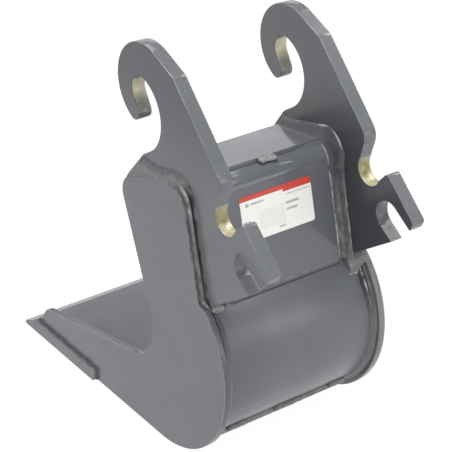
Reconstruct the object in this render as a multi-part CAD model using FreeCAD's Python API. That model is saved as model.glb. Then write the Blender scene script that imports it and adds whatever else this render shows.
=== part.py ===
import FreeCAD, Part
import math
import os

# A narrow trenching bucket that hangs on a hook-on hitch, in millimetres.
# +X is across the bucket, -Y is the digging front and +Z is up.
# The origin is on the axis of the upper hitch pin, mid width.
# Outline points are (y, height), with heights above the ground that the bucket stands on.

# Widths and plate thicknesses
body_width = 200.0
side_plate_thickness = 8.0
ear_thickness = 15.0
shell_thickness = 6.0
rear_plate_thickness = 6.0
top_plate_thickness = 4.0
heel_plate_thickness = 5.0
blade_thickness = 12.0
blade_overhang = 5.0

# Hitch pins: upper pin in the hook, lower pin in the rear cup
pin_diameter = 30.0
pin_clearance = 0.25
upper_pin = (0.0, 366.0)
lower_pin = (132.5, 288.5)

# Hook, placed from the upper pin
hook_offset = (3.5, 6.0)
hook_radius = 42.8
hook_nose_angle = 243.0
hook_nose_radius = 8.0
hook_top_angle = 67.6
throat_offset = (-7.5, -23.0)
throat_exit_angle = -58.0
kink_offset = (52.0, 32.2)
kink_radius = 8.0

# Cup, lug and locking slot, placed from the lower pin
cup_mouth_angles = (161.0, -19.0)
bump_offset = (-6.1, 32.8)
bump_radius = 17.0
lug_top_offset = (25.2, 7.2)
lug_tail_offset = (65.6, -29.5)
lug_toe_offset = (55.8, -47.5)
slot_end_offset = (30.0, -37.0)
slot_width = 32.5
slot_angle = -33.5

# Rest of the ear outline; its foot is set on the outer face of the shell
ear_heel_angle = 47.65
ear_heel_depth = 3.5
ear_foot_angle = 56.3
ear_foot_gap = 1.0
ear_front_foot_y = 16.5
ear_front_shoulder = (-17.0, 275.7)
ear_front_waist = (1.6, 302.0)
ear_front_radius = 20.0
ear_corner_radius = 4.0

# Side plate outline; its heel stands proud of the shell by the land
heel_centre_y = 38.0
heel_land = 7.0
heel_top_angle = 47.0
side_rear_top = (76.3, 296.3)
side_rear_radius = 16.0
side_top_slope = 8.8
side_front_bend_y = 16.8
side_front_bend_radius = 40.0
side_front_corner = (-30.4, 268.0)
side_front_radius = 20.0
side_step_offset = (-8.2, 4.7)
notch_corner = (42.4, 86.2)
notch_radius = 49.0
lip_front = (-188.0, 36.5)
lip_front_radius = 10.0
side_toe_y = -205.0

# Floor and rolled back
shell_outer_radius = 100.0
floor_clearance = 10.0
shell_top_angle = 52.0

# Cutting edge
blade_tip_y = -228.0
blade_rear_y = -86.0
blade_nose_height = 4.0
blade_bevel_length = 17.0

# Upper box, heel plate and label
rear_plate_stand_off = 3.0
rear_plate_bend_radius = 16.0
flange_front_y = 4.0
top_plate_front_y = 1.0
top_plate_rear_y = 66.0
heel_plate_top_angle = -48.0
heel_plate_front_y = -30.0
heel_plate_side_gap = 9.0
label_width = 85.0
label_height = 45.0
label_centre_x = -1.5
label_top_height = 274.0
label_thickness = 0.4

# Weld beads
ear_weld_leg = 10.0
box_weld_rise = 11.0
box_weld_spread = 9.0
shell_weld_rise = 5.0
shell_weld_spread = 8.0
shell_weld_end_gap = 3.8
foot_weld_leg = 9.0
blade_weld_rise = 9.0
seam_weld_leg = 3.5
top_stitch_leg = 4.0
top_stitch_span = (-15.4, 5.9)
heel_stitch_leg = 5.0
heel_stitch_lengths = (22.0, 37.0, 24.0)
heel_stitch_end_gaps = (1.0, 14.0)
heel_stitch_middle_x = -8.5
floor_weld_leg = 6.0
weld_bulge = 0.12

# Places that follow from the sizes above
side_outer_x = body_width / 2
side_inner_x = side_outer_x - side_plate_thickness
ear_inner_x = side_inner_x - ear_thickness
blade_half_width = side_outer_x + blade_overhang
pin_seat_radius = pin_diameter / 2 + pin_clearance
heel_radius = shell_outer_radius + heel_land
heel_centre = (heel_centre_y, heel_radius)
shell_centre = (heel_centre_y, floor_clearance + shell_outer_radius)
heel_plate_half_width = side_inner_x - heel_plate_side_gap


def V(x, point):
    """Space point at x for a (y, height) point of the side view."""
    return FreeCAD.Vector(x, point[0] - upper_pin[0], point[1] - upper_pin[1])


def offset(point, step):
    return (point[0] + step[0], point[1] + step[1])


def on_circle(centre, radius, degrees):
    angle = math.radians(degrees)
    return (centre[0] + radius * math.cos(angle), centre[1] + radius * math.sin(angle))


def bearing(start, end):
    """Direction from start to end, in degrees from +Y."""
    return math.degrees(math.atan2(end[1] - start[1], end[0] - start[0]))


def distance(start, end):
    return math.hypot(end[0] - start[0], end[1] - start[1])


def unit(start, end):
    length = distance(start, end)
    return ((end[0] - start[0]) / length, (end[1] - start[1]) / length)


def shifted(point, direction, length):
    return (point[0] + direction[0] * length, point[1] + direction[1] * length)


def meeting(start_a, end_a, start_b, end_b):
    """Point where two straight lines of the side view cross."""
    a = unit(start_a, end_a)
    b = unit(start_b, end_b)
    turn = a[0] * b[1] - a[1] * b[0]
    gap = (start_b[0] - start_a[0], start_b[1] - start_a[1])
    return shifted(start_a, a, (gap[0] * b[1] - gap[1] * b[0]) / turn)


def landing(start, end, centre, radius):
    """Where the straight line from start towards end comes out of a circle."""
    way = unit(start, end)
    gap = (start[0] - centre[0], start[1] - centre[1])
    along = gap[0] * way[0] + gap[1] * way[1]
    reach = math.sqrt(along ** 2 + radius ** 2 - gap[0] ** 2 - gap[1] ** 2) - along
    return shifted(start, way, reach)


def line(x, start, end):
    return Part.LineSegment(V(x, start), V(x, end)).toShape()


def arc(x, centre, radius, start_angle, end_angle):
    """Circular edge between two angles, through the angle halfway between them."""
    angles = (start_angle, (start_angle + end_angle) / 2, end_angle)
    points = [V(x, on_circle(centre, radius, angle)) for angle in angles]
    return Part.Arc(points[0], points[1], points[2]).toShape()


def rounded_path(x, corners):
    """Edges of an open path through (point, radius) corners; a radius makes a tangent arc."""
    edges = []
    position = corners[0][0]
    for index in range(1, len(corners) - 1):
        corner, radius = corners[index]
        if radius == 0:
            edges.append(line(x, position, corner))
            position = corner
            continue
        back = unit(corner, corners[index - 1][0])
        ahead = unit(corner, corners[index + 1][0])
        half_angle = math.acos(back[0] * ahead[0] + back[1] * ahead[1]) / 2
        run = radius / math.tan(half_angle)
        start = shifted(corner, back, run)
        end = shifted(corner, ahead, run)
        inward = unit((0, 0), (back[0] + ahead[0], back[1] + ahead[1]))
        middle = shifted(corner, inward, radius / math.sin(half_angle) - radius)
        edges.append(line(x, position, start))
        edges.append(Part.Arc(V(x, start), V(x, middle), V(x, end)).toShape())
        position = end
    edges.append(line(x, position, corners[-1][0]))
    return edges


def slab(edges, width):
    """Plate cut to a closed outline and as thick as width along +X."""
    return Part.Face(Part.Wire(edges)).extrude(FreeCAD.Vector(width, 0, 0))


def polygon(x, points):
    return [line(x, points[i - 1], points[i]) for i in range(len(points))]


def mirrored(shape):
    return shape.mirror(FreeCAD.Vector(0, 0, 0), FreeCAD.Vector(1, 0, 0))


def weld_section(root, toe, crown):
    """Face of a fillet weld: two straight legs and a bulged front."""
    middle = (toe + crown) * 0.5 + (toe + crown - root * 2) * weld_bulge
    return Part.Face(Part.Wire([
        Part.LineSegment(root, toe).toShape(),
        Part.Arc(toe, middle, crown).toShape(),
        Part.LineSegment(crown, root).toShape(),
    ]))


def bead(path_edges, side, spread, rise):
    """Weld bead along a side-view path of lines and arcs.

    One leg of its section runs along X and the other square to the path, on its left (side 1)
    or right (side -1). Straight runs extrude the section and arcs revolve it.
    """
    across = FreeCAD.Vector(1, 0, 0)
    runs = []
    for edge in path_edges:
        root = edge.Vertexes[0].Point
        tangent = edge.tangentAt(edge.FirstParameter)
        crown = root + across.cross(tangent) * (side * rise)
        section = weld_section(root, root + across * spread, crown)
        if isinstance(edge.Curve, Part.Line):
            runs.append(section.extrude(edge.Vertexes[1].Point - root))
        else:
            turn = math.degrees(edge.LastParameter - edge.FirstParameter)
            runs.append(section.revolve(edge.Curve.Center, edge.Curve.Axis, turn))
    return runs[0].fuse(runs[1:]).removeSplitter()


def cross_bead(start_x, end_x, root, toe, crown):
    """Weld bead that runs across the bucket, along X."""
    section = weld_section(V(start_x, root), V(start_x, toe), V(start_x, crown))
    return section.extrude(FreeCAD.Vector(end_x - start_x, 0, 0))


def side_step():
    """Top of the side plate's round heel, and the step above it where the rear edge starts."""
    heel_top = on_circle(heel_centre, heel_radius, heel_top_angle)
    return heel_top, offset(heel_top, side_step_offset)


def side_front_bend():
    """Where the side plate's sloping top edge turns down to its front corner."""
    run = side_front_bend_y - side_rear_top[0]
    return offset(side_rear_top, (run, run * math.tan(math.radians(side_top_slope))))


def ear_foot():
    """Foot of the ear: front corner, inner corner and heel, the last sunk in the shell's ring."""
    heel = on_circle(shell_centre, shell_outer_radius - ear_heel_depth, ear_heel_angle)
    inner = on_circle(shell_centre, shell_outer_radius + ear_foot_gap, ear_foot_angle)
    return (ear_front_foot_y, inner[1]), inner, heel


def ear_seat():
    """Where the lower edge of the ear leaves the shell, and the direction of that edge."""
    front, inner, heel = ear_foot()
    lug_toe = offset(lower_pin, lug_toe_offset)
    return landing(heel, lug_toe, shell_centre, shell_outer_radius), unit(heel, lug_toe)


def side_plate():
    """Right side plate: slanted front corner, throat notch, low lip, round heel, step for the blade."""
    heel_top, step = side_step()
    edges = rounded_path(side_inner_x, [
        (heel_top, 0),
        (step, 0),
        (side_rear_top, side_rear_radius),
        (side_front_bend(), side_front_bend_radius),
        (side_front_corner, side_front_radius),
        (notch_corner, notch_radius),
        (lip_front, lip_front_radius),
        ((side_toe_y, blade_thickness), 0),
        ((blade_rear_y, blade_thickness), 0),
        ((blade_rear_y, 0), 0),
        ((heel_centre_y, 0), 0),
    ])
    edges.append(arc(side_inner_x, heel_centre, heel_radius, -90, heel_top_angle))
    return slab(edges, side_plate_thickness)


def hook_edges(x):
    """Claw hook from its crown round the nose and the pin seat to the end of the throat."""
    hook_centre = offset(upper_pin, hook_offset)
    throat_centre = offset(upper_pin, throat_offset)
    nose = on_circle(hook_centre, hook_radius - hook_nose_radius, hook_nose_angle)
    lean = math.acos((pin_seat_radius + hook_nose_radius) / distance(nose, upper_pin))
    nose_end = bearing(nose, upper_pin) - math.degrees(lean)
    throat_radius = distance(throat_centre, upper_pin) + pin_seat_radius
    throat_start = bearing(throat_centre, upper_pin)
    seat_start = on_circle(upper_pin, pin_seat_radius, nose_end + 180)
    edges = [
        arc(x, hook_centre, hook_radius, hook_top_angle, hook_nose_angle),
        arc(x, nose, hook_nose_radius, hook_nose_angle, nose_end + 360),
        line(x, on_circle(nose, hook_nose_radius, nose_end), seat_start),
        arc(x, upper_pin, pin_seat_radius, nose_end + 180, throat_start),
        arc(x, throat_centre, throat_radius, throat_start, throat_exit_angle),
    ]
    crown_start = on_circle(hook_centre, hook_radius, hook_top_angle)
    throat_exit = on_circle(throat_centre, throat_radius, throat_exit_angle)
    return edges, crown_start, throat_exit


def hitch_ear(shell):
    """Right hitch ear: hook for the upper pin, open cup for the lower pin, lug with a locking slot."""
    x = ear_inner_x
    edges, crown_start, throat_exit = hook_edges(x)
    front_foot, inner_foot, heel = ear_foot()
    edges += rounded_path(x, [
        (throat_exit, 0),
        (ear_front_waist, ear_front_radius),
        (ear_front_shoulder, ear_front_radius),
        (front_foot, ear_corner_radius),
        (inner_foot, 0),
        (heel, 0),
        (offset(lower_pin, lug_toe_offset), 0),
        (offset(lower_pin, lug_tail_offset), ear_corner_radius),
        (offset(lower_pin, lug_top_offset), ear_corner_radius),
        (on_circle(lower_pin, pin_seat_radius, cup_mouth_angles[1]), 0),
        (on_circle(lower_pin, pin_seat_radius, cup_mouth_angles[0]), 0),
        (offset(lower_pin, bump_offset), bump_radius),
        (offset(upper_pin, kink_offset), kink_radius),
        (crown_start, 0),
    ])
    ear = slab(edges, ear_thickness)
    across = FreeCAD.Vector(1, 0, 0)
    cup = Part.makeCylinder(pin_seat_radius, ear_thickness, V(x, lower_pin), across)
    slot_place = V(x, offset(lower_pin, slot_end_offset))
    slot_end = Part.makeCylinder(slot_width / 2, ear_thickness, slot_place, across)
    slot_run = slot_width * 2
    slot_corner = slot_place - FreeCAD.Vector(0, 0, slot_width / 2)
    slot_mouth = Part.makeBox(ear_thickness, slot_run, slot_width, slot_corner)
    slot_mouth.rotate(slot_place, across, slot_angle)
    return ear.cut([cup, slot_end, slot_mouth, shell])


def wrapped_plate(half_width, outer_radius, thickness, front_y, top_angle):
    """Plate that runs flat under the bucket and then round the heel, about the shell's centre."""
    x = -half_width
    inner_radius = outer_radius - thickness
    under = shell_centre[1] - outer_radius
    outer_top = on_circle(shell_centre, outer_radius, top_angle)
    inner_top = on_circle(shell_centre, inner_radius, top_angle)
    return slab([
        line(x, (front_y, under), (heel_centre_y, under)),
        arc(x, shell_centre, outer_radius, -90, top_angle),
        line(x, outer_top, inner_top),
        arc(x, shell_centre, inner_radius, top_angle, -90),
        line(x, (heel_centre_y, under + thickness), (front_y, under + thickness)),
        line(x, (front_y, under + thickness), (front_y, under)),
    ], 2 * half_width)


def shell_plate():
    """Floor and rolled back in one sheet, between the side plates."""
    return wrapped_plate(side_inner_x, shell_outer_radius, shell_thickness, blade_rear_y, shell_top_angle)


def heel_plate():
    """Wear plate on the outside of the heel; the side plates stand a little proud of it."""
    return wrapped_plate(heel_plate_half_width, shell_outer_radius + heel_plate_thickness,
                         heel_plate_thickness, heel_plate_front_y, heel_plate_top_angle)


def box_lines():
    """Outer face of the rear plate: front end of its flange, corner of its bend, lower end."""
    step = side_step()[1]
    ear_heel = ear_foot()[2]
    down = unit(side_rear_top, step)
    outward = (-down[1], down[0])
    rear_start = shifted(side_rear_top, outward, rear_plate_stand_off)
    rear_end = shifted(step, outward, rear_plate_stand_off)
    front_bend = side_front_bend()
    corner = meeting(front_bend, side_rear_top, rear_start, rear_end)
    flange = unit(side_rear_top, front_bend)
    flange_front = shifted(corner, flange, (corner[0] - flange_front_y) / -flange[0])
    lower_end = meeting(rear_start, rear_end, ear_heel, shifted(ear_heel, (1, 0), 1))
    return flange_front, corner, lower_end


def rear_plate(shell):
    """Folded plate of the upper box: flange under the top plate, bend and sloping rear face."""
    x = -ear_inner_x
    flange_front, corner, lower_end = box_lines()
    flange = unit(corner, flange_front)
    down = unit(corner, lower_end)
    inner_front = shifted(flange_front, (-flange[1], flange[0]), rear_plate_thickness)
    inner_lower = shifted(lower_end, (down[1], -down[0]), rear_plate_thickness)
    inner_corner = meeting(inner_front, shifted(inner_front, flange, 1),
                           inner_lower, shifted(inner_lower, down, 1))
    inner_bend = rear_plate_bend_radius - rear_plate_thickness
    edges = rounded_path(x, [(flange_front, 0), (corner, rear_plate_bend_radius), (lower_end, 0)])
    edges.append(line(x, lower_end, inner_lower))
    edges += rounded_path(x, [(inner_lower, 0), (inner_corner, inner_bend), (inner_front, 0)])
    edges.append(line(x, inner_front, flange_front))
    return slab(edges, 2 * ear_inner_x).cut(shell)


def on_flange(y):
    """Point of the flange's upper face at y, with the directions forwards and upwards there."""
    flange_front, corner, lower_end = box_lines()
    forward = unit(corner, flange_front)
    point = shifted(corner, forward, (corner[0] - y) / -forward[0])
    return point, forward, (forward[1], -forward[0])


def top_plate():
    """Flat bar on the flange of the rear plate; its front edge is the upper lip of the mouth."""
    front, forward, upward = on_flange(top_plate_front_y)
    rear = on_flange(top_plate_rear_y)[0]
    outline = [
        front,
        rear,
        shifted(rear, upward, top_plate_thickness),
        shifted(front, upward, top_plate_thickness),
    ]
    return slab(polygon(-ear_inner_x, outline), 2 * ear_inner_x)


def cutting_edge():
    """Blade across the front, a little wider than the body, with a bevelled top."""
    outline = [
        (blade_tip_y, 0),
        (blade_rear_y, 0),
        (blade_rear_y, blade_thickness),
        (blade_tip_y + blade_bevel_length, blade_thickness),
        (blade_tip_y, blade_nose_height),
    ]
    return slab(polygon(-blade_half_width, outline), 2 * blade_half_width)


def ear_weld():
    """Right outer bead: along the side plate's upper edges, on the outer face of the ear.

    It starts where its upper toe comes to the front edge of the ear.
    """
    front_bend = side_front_bend()
    slant = unit(side_front_corner, front_bend)
    upward = (-slant[1], slant[0])
    crown_line = [shifted(point, upward, ear_weld_leg) for point in (side_front_corner, front_bend)]
    crown = meeting(crown_line[0], crown_line[1], ear_front_waist, ear_front_shoulder)
    path = rounded_path(side_inner_x, [
        (shifted(crown, upward, -ear_weld_leg), 0),
        (front_bend, side_front_bend_radius),
        (side_rear_top, side_rear_radius),
        (side_step()[1], 0),
    ])
    return bead(path, 1, side_plate_thickness, ear_weld_leg)


def box_weld(top, shell):
    """Right inner bead: over the top plate, round the bend and down the rear face."""
    flange_front, corner, lower_end = box_lines()
    start = on_flange(top_plate_front_y)[0]
    path = rounded_path(ear_inner_x, [(start, 0), (corner, rear_plate_bend_radius), (lower_end, 0)])
    weld = bead(path, 1, -box_weld_spread, box_weld_rise)
    return weld.cut([top, shell])


def shell_weld():
    """Right bead in the corner between the rolled shell and the side plate that stands proud."""
    x = side_inner_x
    end_gap = math.degrees(shell_weld_end_gap / shell_outer_radius)
    end_angle = bearing(shell_centre, ear_seat()[0]) - end_gap
    path = [
        line(x, (blade_rear_y + floor_weld_leg, floor_clearance), (heel_centre_y, floor_clearance)),
        arc(x, shell_centre, shell_outer_radius, -90, end_angle),
    ]
    return bead(path, -1, -shell_weld_spread, shell_weld_rise)


def foot_weld(ear, shell, box_bead, shell_bead):
    """Right bead that fills the wedge between the ear's lower edge and the shell."""
    seat, edge = ear_seat()
    crown = shifted(seat, edge, foot_weld_leg)
    toe_angle = bearing(shell_centre, seat) - math.degrees(foot_weld_leg / shell_outer_radius)
    toe = on_circle(shell_centre, shell_outer_radius, toe_angle)
    weld = cross_bead(ear_inner_x, side_inner_x, seat, toe, crown)
    return weld.cut([ear, shell, box_bead, shell_bead])


def blade_weld():
    """Right bead between the side plate and the top of the blade, turned down its rear end."""
    corner = V(side_outer_x, (blade_rear_y, blade_thickness))
    across = FreeCAD.Vector(1, 0, 0)
    toe = corner + across * blade_overhang
    crown = corner + FreeCAD.Vector(0, 0, blade_weld_rise)
    section = weld_section(corner, toe, crown)
    turned_section = section.copy()
    turned_section.rotate(corner, across, -90)
    along = section.extrude(FreeCAD.Vector(0, side_toe_y - blade_rear_y, 0))
    round_end = section.revolve(corner, across, -90)
    down = turned_section.extrude(FreeCAD.Vector(0, 0, -blade_thickness))
    return along.fuse([round_end, down]).removeSplitter()


def seam_weld(rear, shell):
    """Bead along the joint of the rear plate and the rolled shell, between the ears."""
    flange_front, corner, lower_end = box_lines()
    half_width = ear_inner_x - box_weld_spread
    seat = landing(lower_end, corner, shell_centre, shell_outer_radius)
    crown = shifted(seat, unit(lower_end, corner), seam_weld_leg)
    toe_angle = bearing(shell_centre, seat) - math.degrees(seam_weld_leg / shell_outer_radius)
    toe = on_circle(shell_centre, shell_outer_radius, toe_angle)
    return cross_bead(-half_width, half_width, seat, toe, crown).cut([rear, shell])


def top_stitch_weld():
    """Short bead at the rear edge of the top plate."""
    root, forward, upward = on_flange(top_plate_rear_y)
    crown = shifted(root, upward, top_plate_thickness)
    toe = shifted(root, forward, -top_stitch_leg)
    return slab(polygon(top_stitch_span[0], [root, toe, crown]), top_stitch_span[1] - top_stitch_span[0])


def heel_stitch_welds(shell):
    """Short beads that hold the upper edge of the heel plate to the shell."""
    angle = heel_plate_top_angle
    turn = math.degrees(heel_stitch_leg / shell_outer_radius)
    left_length, middle_length, right_length = heel_stitch_lengths
    left_start = heel_stitch_end_gaps[0] - heel_plate_half_width
    middle_start = heel_stitch_middle_x - middle_length / 2
    right_end = heel_plate_half_width - heel_stitch_end_gaps[1]
    spans = (
        (left_start, left_start + left_length),
        (middle_start, middle_start + middle_length),
        (right_end - right_length, right_end),
    )
    root = on_circle(shell_centre, shell_outer_radius, angle)
    crown = on_circle(shell_centre, shell_outer_radius + heel_plate_thickness, angle)
    toe = on_circle(shell_centre, shell_outer_radius, angle + turn)
    stitches = [cross_bead(span[0], span[1], root, toe, crown).cut(shell) for span in spans]
    return Part.makeCompound(stitches)


def floor_weld():
    """Bead under the floor, along the rear end of the blade."""
    root = (blade_rear_y, floor_clearance)
    crown = (blade_rear_y, floor_clearance - floor_weld_leg)
    toe = (blade_rear_y + floor_weld_leg, floor_clearance)
    return cross_bead(-side_inner_x, side_inner_x, root, toe, crown)


def data_label():
    """Thin label on the rear face of the upper box."""
    flange_front, corner, lower_end = box_lines()
    down = unit(corner, lower_end)
    outward = (-down[1], down[0])
    top = shifted(corner, down, (corner[1] - label_top_height) / -down[1])
    bottom = shifted(top, down, label_height)
    outline = [top, bottom, shifted(bottom, outward, label_thickness), shifted(top, outward, label_thickness)]
    return slab(polygon(label_centre_x - label_width / 2, outline), label_width)


def all_parts():
    """Every piece by its name; right-hand pieces are mirrored to the left."""
    shell = shell_plate()
    rear = rear_plate(shell)
    top = top_plate()
    ear = hitch_ear(shell)
    box_bead = box_weld(top, shell)
    shell_bead = shell_weld()
    parts = {
        "shell_plate": shell,
        "rear_plate": rear,
        "top_plate": top,
        "heel_plate": heel_plate(),
        "cutting_edge": cutting_edge(),
        "seam_weld": seam_weld(rear, shell),
        "top_stitch_weld": top_stitch_weld(),
        "heel_stitch_welds": heel_stitch_welds(shell),
        "floor_weld": floor_weld(),
        "data_label": data_label(),
    }
    pairs = {
        "side_plate": side_plate(),
        "hitch_ear": ear,
        "ear_weld": ear_weld(),
        "box_weld": box_bead,
        "shell_weld": shell_bead,
        "foot_weld": foot_weld(ear, shell, box_bead, shell_bead),
        "blade_weld": blade_weld(),
    }
    for name, shape in pairs.items():
        parts[name + "_right"] = shape
        parts[name + "_left"] = mirrored(shape)
    return parts


os.makedirs("parts", exist_ok=True)
for name, shape in all_parts().items():
    shape.exportStep("parts/" + name + ".step")
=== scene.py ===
import math
import bmesh
import bpy
import numpy as np
from mathutils import Matrix, Vector


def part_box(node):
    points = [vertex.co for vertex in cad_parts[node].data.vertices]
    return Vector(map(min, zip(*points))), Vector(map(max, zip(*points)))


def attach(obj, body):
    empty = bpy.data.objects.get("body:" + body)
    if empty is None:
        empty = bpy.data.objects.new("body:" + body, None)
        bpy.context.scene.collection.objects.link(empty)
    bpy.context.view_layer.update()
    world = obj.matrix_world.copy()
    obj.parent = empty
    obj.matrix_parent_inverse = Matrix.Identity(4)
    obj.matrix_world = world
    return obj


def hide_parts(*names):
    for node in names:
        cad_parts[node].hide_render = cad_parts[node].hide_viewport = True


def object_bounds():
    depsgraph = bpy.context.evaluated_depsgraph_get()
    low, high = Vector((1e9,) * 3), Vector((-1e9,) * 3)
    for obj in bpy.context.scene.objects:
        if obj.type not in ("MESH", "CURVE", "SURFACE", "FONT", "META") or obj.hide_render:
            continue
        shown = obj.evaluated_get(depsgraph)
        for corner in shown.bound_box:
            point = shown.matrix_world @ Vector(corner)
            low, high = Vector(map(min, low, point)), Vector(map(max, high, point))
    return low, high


# A narrow trenching bucket: dark grey paint on plate steel, laid weld beads, a printed label.
# Everything is in metres. +X is across, -Y is the digging front, +Z is up.
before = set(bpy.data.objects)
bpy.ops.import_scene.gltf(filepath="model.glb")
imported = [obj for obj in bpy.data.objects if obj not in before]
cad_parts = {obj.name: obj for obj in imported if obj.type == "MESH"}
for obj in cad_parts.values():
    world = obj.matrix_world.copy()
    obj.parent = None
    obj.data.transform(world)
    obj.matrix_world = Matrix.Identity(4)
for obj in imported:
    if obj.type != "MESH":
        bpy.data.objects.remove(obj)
cad_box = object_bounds()
GROUND = cad_box[0].z
MM = 0.001

# Camera: a long lens from behind, to the right and above
CAMERA_TARGET = (-0.0072, 0.0005, -0.1741)
CAMERA_AZIMUTH = 36.54
CAMERA_ELEVATION = 28.94
CAMERA_DISTANCE = 1.6195
CAMERA_ROLL = 0.43
CAMERA_LENS = 127.43
CAMERA_SENSOR = 36.0

# Side view of the welded corners, as (y, height above the ground)
SIDE_REAR_TOP = (0.0763, 0.2963)
SIDE_REAR_RADIUS = 0.016
SIDE_TOP_SLOPE = 8.8
SIDE_FRONT_BEND_Y = 0.0168
SIDE_FRONT_BEND_RADIUS = 0.040
SIDE_FRONT_CORNER = (-0.0304, 0.268)
SIDE_FRONT_RADIUS = 0.020
SIDE_NOTCH = (0.0424, 0.0862)
SIDE_STEP = (0.10277, 0.18996)
SIDE_HEEL_TOP = (0.11097, 0.18526)
SIDE_STEP_RADIUS = 0.003
EAR_WAIST = (0.0016, 0.302)
EAR_SHOULDER = (-0.017, 0.2757)
BOX_STAND_OFF = 0.003
EAR_HEEL_HEIGHT = 0.1813
SHELL_CENTRE = (0.038, 0.110)
SHELL_RADIUS = 0.100
SHELL_WELD_END = 45.0
HEEL_PLATE_THICKNESS = 0.005
HEEL_PLATE_TOP = -48.0
BLADE_REAR = -0.086
TOP_PLATE_THICKNESS = 0.004
EAR_LOWER_EDGE_WAY = (0.819, 0.573)

# Pins of the hitch, as (y, z), the radius of their seats and the normal of the hook's flat flank
UPPER_PIN = (0.0, 0.0)
LOWER_PIN = (0.1325, -0.0775)
PIN_SEAT_RADIUS = 0.01525
NOSE_WAY = (0.8625, 0.506)

# Beads: samples along and across, how far the closed back is sunk into the plates, size at the ends
SAMPLES_PER_RIPPLE = 7
BEAD_POINTS = 19
BEAD_SINK = 0.4 * MM
END_SIZE = 0.04
# Share of a rope's section that is its half round; the rest is the film above it
ROPE_SHARE = 0.62
# Ripples: spacing, how far their edges trail and their spacing wanders (in pitches), middle level
RIPPLE_PITCH = 2.6 * MM
RIPPLE_TRAIL = 0.9
RIPPLE_DRIFT = 0.35
RIPPLE_LEVEL = 0.6
# Wavelengths of the wander of a bead's toe, its crown and its ripples' spacing
TOE_WAVES = (11 * MM, 23 * MM, 47 * MM)
CROWN_WAVES = (9 * MM, 19 * MM, 41 * MM)
PITCH_WAVES = (17 * MM, 31 * MM)


def unit(start, end):
    """Direction from one side-view point to another."""
    step = np.array(end) - np.array(start)
    return step / np.linalg.norm(step)


def meeting(point_a, way_a, point_b, way_b):
    """Where two lines of the side view cross, each given by a point and a direction."""
    run = np.linalg.solve(np.stack([way_a, -np.array(way_b)], axis=1), np.array(point_b) - point_a)
    return np.array(point_a) + np.array(way_a) * run[0]


def landing(start, way):
    """Where a line of the side view comes out of the shell's outer circle."""
    gap = np.array(start) - SHELL_CENTRE
    along = gap @ way
    return np.array(start) + way * (math.sqrt(along ** 2 + SHELL_RADIUS ** 2 - gap @ gap) - along)


def node_box(name):
    """Lowest and highest corner of a node, as numpy arrays."""
    low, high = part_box(name)
    return np.array(low), np.array(high)


ear_low, ear_high = node_box("hitch_ear_right")
side_low, side_high = node_box("side_plate_right")
EAR_INNER_X = ear_low[0]
EAR_OUTER_X = ear_high[0]
SIDE_INNER_X = side_low[0]
SIDE_OUTER_X = side_high[0]


# Paths of the beads in the side view

def straight(start, end, step):
    """Evenly spaced points on a straight line, without its end."""
    start, end = np.array(start), np.array(end)
    count = max(2, int(np.linalg.norm(end - start) / step))
    share = np.linspace(0, 1, count, endpoint=False)[:, None]
    return start + (end - start) * share


def round_run(centre, radius, start_angle, end_angle, step):
    """Evenly spaced points on an arc, without its end; angles in degrees from +Y."""
    length = abs(math.radians(end_angle - start_angle)) * radius
    count = max(2, int(length / step))
    angle = np.radians(np.linspace(start_angle, end_angle, count, endpoint=False))
    return np.array(centre) + radius * np.stack([np.cos(angle), np.sin(angle)], axis=1)


def rounded_path(corners, step):
    """Straight runs joined by tangent arcs, through (point, radius) corners from end to end."""
    runs = []
    position = np.array(corners[0][0])
    for before, (corner, radius), after in zip(corners, corners[1:], corners[2:]):
        back, ahead = unit(corner, before[0]), unit(corner, after[0])
        half = math.acos(back @ ahead) / 2
        run = radius / math.tan(half)
        middle = corner + unit((0, 0), back + ahead) * radius / math.sin(half)
        first = corner + back * run - middle
        last = corner + ahead * run - middle
        first_angle = math.degrees(math.atan2(first[1], first[0]))
        last_angle = math.degrees(math.atan2(last[1], last[0]))
        turn = (last_angle - first_angle + 180) % 360 - 180
        runs.append(straight(position, corner + back * run, step))
        runs.append(round_run(middle, radius, first_angle, first_angle + turn, step))
        position = corner + ahead * run
    runs.append(straight(position, corners[-1][0], step))
    runs.append(np.array(corners[-1][0])[None])
    return np.concatenate(runs)


def side_frame(path, side):
    """Path, length along it and unit normal on its left (side 1) or right (side -1)."""
    steps = np.linalg.norm(np.diff(path, axis=0), axis=1)
    along = np.concatenate([[0], np.cumsum(steps)])
    tangent = np.gradient(path, axis=0)
    tangent /= np.linalg.norm(tangent, axis=1)[:, None]
    normal = np.stack([-tangent[:, 1], tangent[:, 0]], axis=1) * side
    return along, normal


def space(x, path):
    """Side-view points (y, height) at x, as points of the frame."""
    return np.stack([np.broadcast_to(x, len(path)), path[:, 0], path[:, 1] + GROUND], axis=1)


# Meshes

def grid_piece(name, points, smooth_angle=40.0):
    """Closed tube from a grid of points: rows along the piece, columns round it, ends filled."""
    rows, columns = points.shape[:2]
    index = np.arange(rows * columns).reshape(rows, columns)
    ahead = np.roll(index, -1, axis=1)
    faces = np.stack([index[:-1], ahead[:-1], ahead[1:], index[1:]], axis=-1).reshape(-1, 4)
    mesh = bpy.data.meshes.new(name)
    caps = [index[0][::-1].tolist(), index[-1].tolist()]
    mesh.from_pydata(points.reshape(-1, 3), [], faces.tolist() + caps)
    tube = bpy.data.objects.new(name, mesh)
    bpy.context.scene.collection.objects.link(tube)
    face_outwards(mesh)
    mesh.shade_smooth()
    mesh.set_sharp_from_angle(angle=math.radians(smooth_angle))
    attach(tube, "root")
    return tube


def face_outwards(mesh):
    """Turn every face of a closed mesh outwards."""
    work = bmesh.new()
    work.from_mesh(mesh)
    bmesh.ops.recalc_face_normals(work, faces=work.faces)
    work.to_mesh(mesh)
    work.free()


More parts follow.
